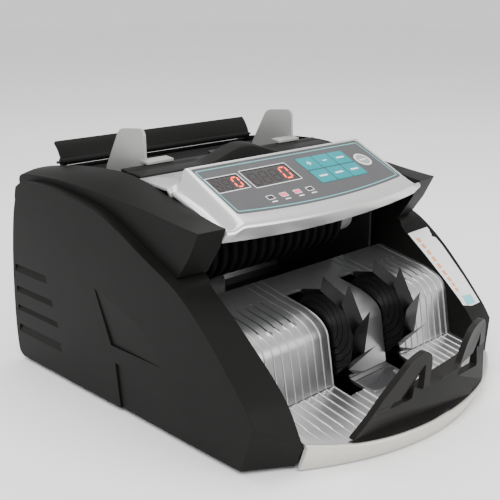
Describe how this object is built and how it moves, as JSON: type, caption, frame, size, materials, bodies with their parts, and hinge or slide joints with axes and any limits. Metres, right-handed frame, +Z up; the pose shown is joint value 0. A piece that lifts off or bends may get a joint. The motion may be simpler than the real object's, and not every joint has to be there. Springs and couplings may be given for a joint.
{
  "type": "banknote counting machine",
  "caption": "Desktop banknote counter with hopper, sliding note guides, tilted key panel with displays, ribbed stacker with leaf wheels and a front note stop.",
  "frame": {"origin": "on the ground, under the middle of the machine's footprint", "axes": "+X to the right as the operator sees it, +Y from the front to the back, +Z up"},
  "size_m": [0.245, 0.2915, 0.1758],
  "materials": {
    "shell": "fine-textured charcoal black moulding",
    "interior": "black moulding, half matte",
    "silver": "silver metallic lacquer, satin",
    "stop": "dark brownish black, half matte",
    "window": "dark tinted, polished",
    "overlay": "printed grey membrane, fine matte",
    "key": "teal printed membrane key",
    "start": "grey printed round key",
    "rubber": "black rubber",
    "grey": "grey moulding",
    "steel": "bright zinc-plated steel",
    "board": "green circuit board",
    "lamp": "violet glass tube"
  },
  "bodies": {
    "chassis": {"base_plate": "interior", "front_left_foot": "rubber", "front_right_foot": "rubber", "rear_left_foot": "rubber", "rear_right_foot": "rubber", "left_side_cover": "shell", "right_side_cover": "shell", "rear_cover": "shell", "power_inlet": "interior", "power_switch_body": "interior", "front_tray": "silver", "sensor_window": "window", "note_stop": "stop", "stacker_plate": "silver", "left_stacker_bearing": "steel", "right_stacker_bearing": "steel", "left_frame_plate": "steel", "right_frame_plate": "steel", "drive_motor": "steel", "stacker_motor": "steel", "drive_belt": "rubber", "pickup_belt": "rubber", "stacker_belt": "rubber", "transformer": "steel", "main_board": "board", "uv_lamp": "lamp", "hopper_floor": "interior", "hopper_front_bar": "shell", "flap_hinge_pin": "steel", "control_panel_bezel": "silver", "keypad_overlay": "overlay", "batch_display": "window", "count_display": "window", "panel_board": "board"},
    "stacker": {"stacker_shaft": "steel", "left_stacker_wheel": "interior", "right_stacker_wheel": "interior", "stacker_pulley": "grey"},
    "stacker_motor_rotor": {"stacker_motor_pulley": "steel"},
    "drum": {"feed_drum_shaft": "steel", "feed_drum": "rubber", "drum_end_roller": "grey", "drum_pulley": "grey"},
    "pickup": {"pickup_shaft": "steel", "left_pickup_roller": "rubber", "right_pickup_roller": "rubber", "pickup_pulley": "grey"},
    "motor_rotor": {"motor_pulley": "steel"},
    "left_guide": {"left_note_guide": "silver"},
    "right_guide": {"right_note_guide": "silver"},
    "support_flap": {"note_support_flap": "shell"},
    "adjusting_knob": {"thickness_knob": "stop"},
    "rocker": {"power_rocker": "stop"},
    "plus_key_body": {"plus_key": "key"},
    "minus_key_body": {"minus_key": "key"},
    "reset_key_body": {"reset_key": "key"},
    "add_key_body": {"add_key": "key"},
    "uv_key_body": {"uv_key": "key"},
    "mg_key_body": {"mg_key": "key"},
    "start_key_body": {"start_key": "start"}
  },
  "joints": [
    {"name": "drum_spin", "type": "hinge", "parent": "chassis", "child": "drum", "pos_m": [0, 0.002, 0.103], "axis": [1, 0, 0], "continuous": true},
    {"name": "pickup_spin", "type": "hinge", "parent": "chassis", "child": "pickup", "pos_m": [0, 0.072, 0.113], "axis": [1, 0, 0], "continuous": true},
    {"name": "motor_spin", "type": "hinge", "parent": "chassis", "child": "motor_rotor", "pos_m": [0, 0.095, 0.04], "axis": [1, 0, 0], "continuous": true},
    {"name": "stacker_spin", "type": "hinge", "parent": "chassis", "child": "stacker", "pos_m": [0, -0.073, 0.0549], "axis": [1, 0, 0], "continuous": true},
    {"name": "stacker_motor_spin", "type": "hinge", "parent": "chassis", "child": "stacker_motor_rotor", "pos_m": [0, -0.038, 0.038], "axis": [1, 0, 0], "continuous": true},
    {"name": "left_guide_slide", "type": "slide", "parent": "chassis", "child": "left_guide", "axis": [-1, 0, 0], "range_m": [-0.018, 0.018]},
    {"name": "right_guide_slide", "type": "slide", "parent": "chassis", "child": "right_guide", "axis": [1, 0, 0], "range_m": [-0.018, 0.018]},
    {"name": "flap_hinge", "type": "hinge", "parent": "chassis", "child": "support_flap", "pos_m": [0, 0.1195, 0.147], "axis": [-1, 0, 0], "range_deg": [0, 65]},
    {"name": "thickness_turn", "type": "hinge", "parent": "chassis", "child": "adjusting_knob", "pos_m": [0, 0.0566, 0.144], "axis": [0, 0, 1], "range_deg": [-180, 180]},
    {"name": "power_rock", "type": "hinge", "parent": "chassis", "child": "rocker", "pos_m": [-0.03, 0.14, 0.027], "axis": [1, 0, 0], "range_deg": [0, 14]},
    {"name": "plus_key_press", "type": "slide", "parent": "chassis", "child": "plus_key_body", "axis": [0, 0.4305, -0.9026], "range_m": [0, 0.0006], "stiffness_N_per_m": 400},
    {"name": "minus_key_press", "type": "slide", "parent": "chassis", "child": "minus_key_body", "axis": [0, 0.4305, -0.9026], "range_m": [0, 0.0006], "stiffness_N_per_m": 400},
    {"name": "reset_key_press", "type": "slide", "parent": "chassis", "child": "reset_key_body", "axis": [0, 0.4305, -0.9026], "range_m": [0, 0.0006], "stiffness_N_per_m": 400},
    {"name": "add_key_press", "type": "slide", "parent": "chassis", "child": "add_key_body", "axis": [0, 0.4305, -0.9026], "range_m": [0, 0.0006], "stiffness_N_per_m": 400},
    {"name": "uv_key_press", "type": "slide", "parent": "chassis", "child": "uv_key_body", "axis": [0, 0.4305, -0.9026], "range_m": [0, 0.0006], "stiffness_N_per_m": 400},
    {"name": "mg_key_press", "type": "slide", "parent": "chassis", "child": "mg_key_body", "axis": [0, 0.4305, -0.9026], "range_m": [0, 0.0006], "stiffness_N_per_m": 400},
    {"name": "start_key_press", "type": "slide", "parent": "chassis", "child": "start_key_body", "axis": [0, 0.4305, -0.9026], "range_m": [0, 0.0006], "stiffness_N_per_m": 400}
  ],
  "couplings": [
    {"joint": "pickup_spin", "follows": "drum_spin", "ratio": 1.1667},
    {"joint": "motor_spin", "follows": "drum_spin", "ratio": 0.875},
    {"joint": "stacker_motor_spin", "follows": "stacker_spin", "ratio": 1}
  ]
}
